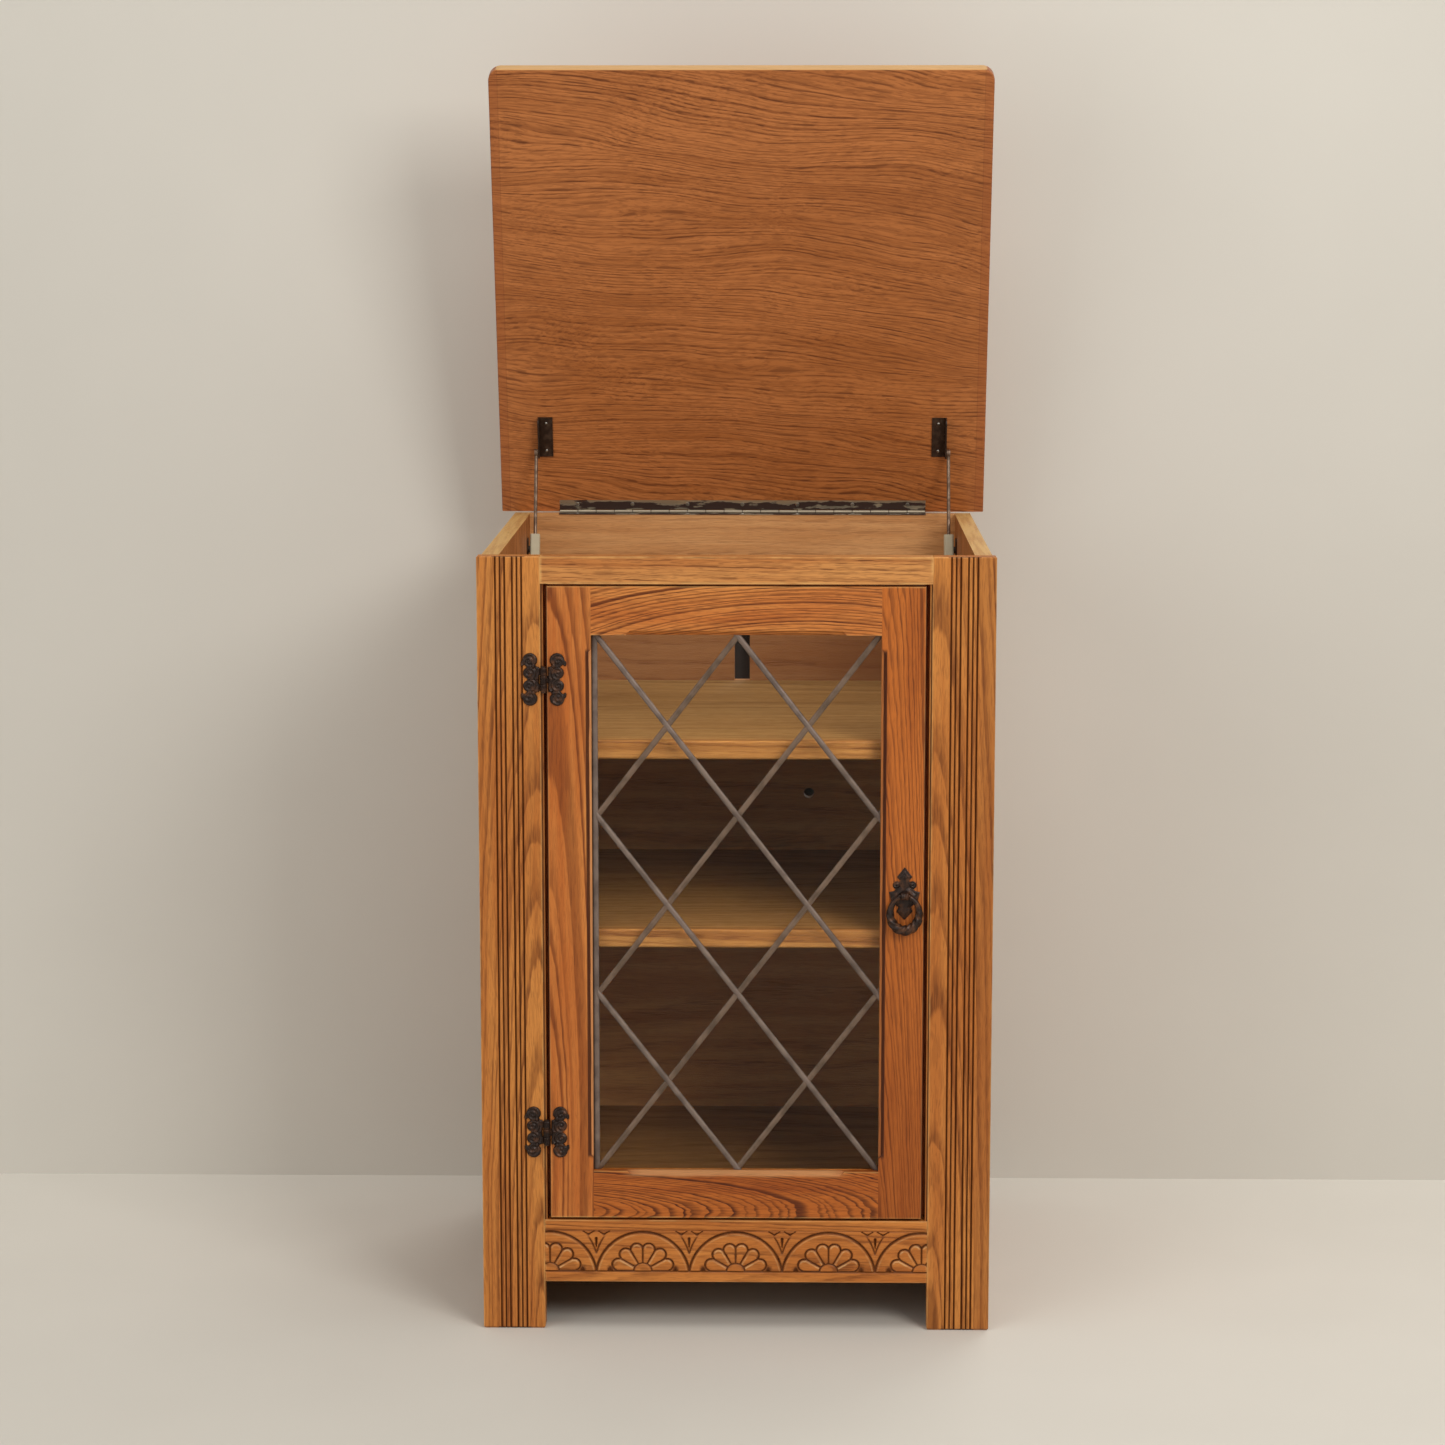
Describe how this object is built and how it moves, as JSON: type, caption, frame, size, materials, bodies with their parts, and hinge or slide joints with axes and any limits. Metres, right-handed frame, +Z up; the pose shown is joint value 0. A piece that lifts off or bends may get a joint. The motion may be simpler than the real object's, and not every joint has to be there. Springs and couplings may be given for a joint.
{
  "type": "hi-fi cabinet",
  "caption": "Oak cabinet with a leaded glass door on face hinges, reeded posts, shelves and a lid held open by sliding friction stays.",
  "frame": {"origin": "on the floor, under the centre of the whole part's box with the lid open", "axes": "+Z up, +Y to the back, +X to the right seen from the front"},
  "size_m": [0.563, 0.5479, 1.3409],
  "materials": {
    "oak": "satin lacquer, mid brown oak with open grain",
    "door_oak": "satin lacquer, warm orange brown oak",
    "side_veneer": "satin lacquered oak veneer, bare board on the top edge",
    "lid_veneer": "satin lacquered oak veneer, reddish brown",
    "back_veneer": "satin lacquered oak veneer",
    "shelf_veneer": "satin lacquered oak veneer",
    "softwood": "plain sawn softwood",
    "glass": "clear float glass",
    "lead": "dull dark grey lead",
    "antique_iron": "black brown antique finish",
    "steel": "dull bright steel",
    "bronzed_steel": "dark bronzed finish",
    "nylon": "moulded, cream",
    "catch_plastic": "moulded, brown"
  },
  "bodies": {
    "carcass": {"left_front_post": "oak", "right_front_post": "oak", "left_side_panel": "side_veneer", "right_side_panel": "side_veneer", "back_board": "back_veneer", "bottom_board": "shelf_veneer", "glue_blocks": "softwood", "front_top_rail": "oak", "front_apron": "oak", "left_door_bead": "oak", "right_door_bead": "oak", "turntable_shelf": "shelf_veneer", "turntable_shelf_lipping": "oak", "lower_shelf": "shelf_veneer", "lower_shelf_lipping": "oak", "magnetic_catch": "catch_plastic", "upper_hinge_post_leaf": "antique_iron", "lower_hinge_post_leaf": "antique_iron", "upper_hinge_pin": "antique_iron", "lower_hinge_pin": "antique_iron", "piano_hinge_fixed_leaf": "steel", "piano_hinge_pin": "steel", "left_stay_side_bracket": "bronzed_steel", "right_stay_side_bracket": "bronzed_steel"},
    "door": {"left_door_stile": "door_oak", "right_door_stile": "door_oak", "door_top_rail": "door_oak", "door_bottom_rail": "door_oak", "glass_pane": "glass", "top_glazing_bead": "door_oak", "bottom_glazing_bead": "door_oak", "left_glazing_bead": "door_oak", "right_glazing_bead": "door_oak", "rising_lead_strips": "lead", "falling_lead_strips": "lead", "edge_lead_strip": "lead", "upper_hinge_door_leaf": "antique_iron", "lower_hinge_door_leaf": "antique_iron", "pull_backplate": "antique_iron", "pull_bolt": "steel", "pull_nut": "steel", "strike_plate": "steel"},
    "ring": {"pull_ring": "antique_iron"},
    "lid": {"lid_board": "lid_veneer", "piano_hinge_lid_leaf": "steel", "left_stay_lid_bracket": "bronzed_steel", "right_stay_lid_bracket": "bronzed_steel"},
    "left_block": {"left_stay_block": "nylon"},
    "right_block": {"right_stay_block": "nylon"},
    "left_rod": {"left_stay_rod": "steel"},
    "right_rod": {"right_stay_rod": "steel"}
  },
  "joints": [
    {"name": "door_hinge", "type": "hinge", "parent": "carcass", "child": "door", "pos_m": [-0.20075, -0.26421, 0], "axis": [0, 0, -1], "range_deg": [0, 170]},
    {"name": "ring_swing", "type": "hinge", "parent": "door", "child": "ring", "pos_m": [0.17695, -0.26902, 0.474], "axis": [-1, 0, 0], "range_deg": [0, 95]},
    {"name": "lid_hinge", "type": "hinge", "parent": "carcass", "child": "lid", "pos_m": [0, 0.25278, 0.8312], "axis": [1, 0, 0], "range_deg": [0, 73]},
    {"name": "left_block_turn", "type": "hinge", "parent": "carcass", "child": "left_block", "pos_m": [-0.239, 0.18898, 0.793], "axis": [1, 0, 0], "range_deg": [0, 39.09]},
    {"name": "left_rod_slide", "type": "slide", "parent": "left_block", "child": "left_rod", "axis": [0, -0.3066, -0.9518], "range_m": [0, 0.08071]},
    {"name": "right_block_turn", "type": "hinge", "parent": "carcass", "child": "right_block", "pos_m": [0.239, 0.18898, 0.793], "axis": [1, 0, 0], "range_deg": [0, 39.09]},
    {"name": "right_rod_slide", "type": "slide", "parent": "right_block", "child": "right_rod", "axis": [0, -0.3066, -0.9518], "range_m": [0, 0.08071]}
  ],
  "couplings": [
    {"joint": "left_block_turn", "follows": "lid_hinge", "ratio": 0.53545},
    {"joint": "left_rod_slide", "follows": "lid_hinge", "m_per_rad": 0.06335},
    {"joint": "right_block_turn", "follows": "lid_hinge", "ratio": 0.53545},
    {"joint": "right_rod_slide", "follows": "lid_hinge", "m_per_rad": 0.06335}
  ]
}
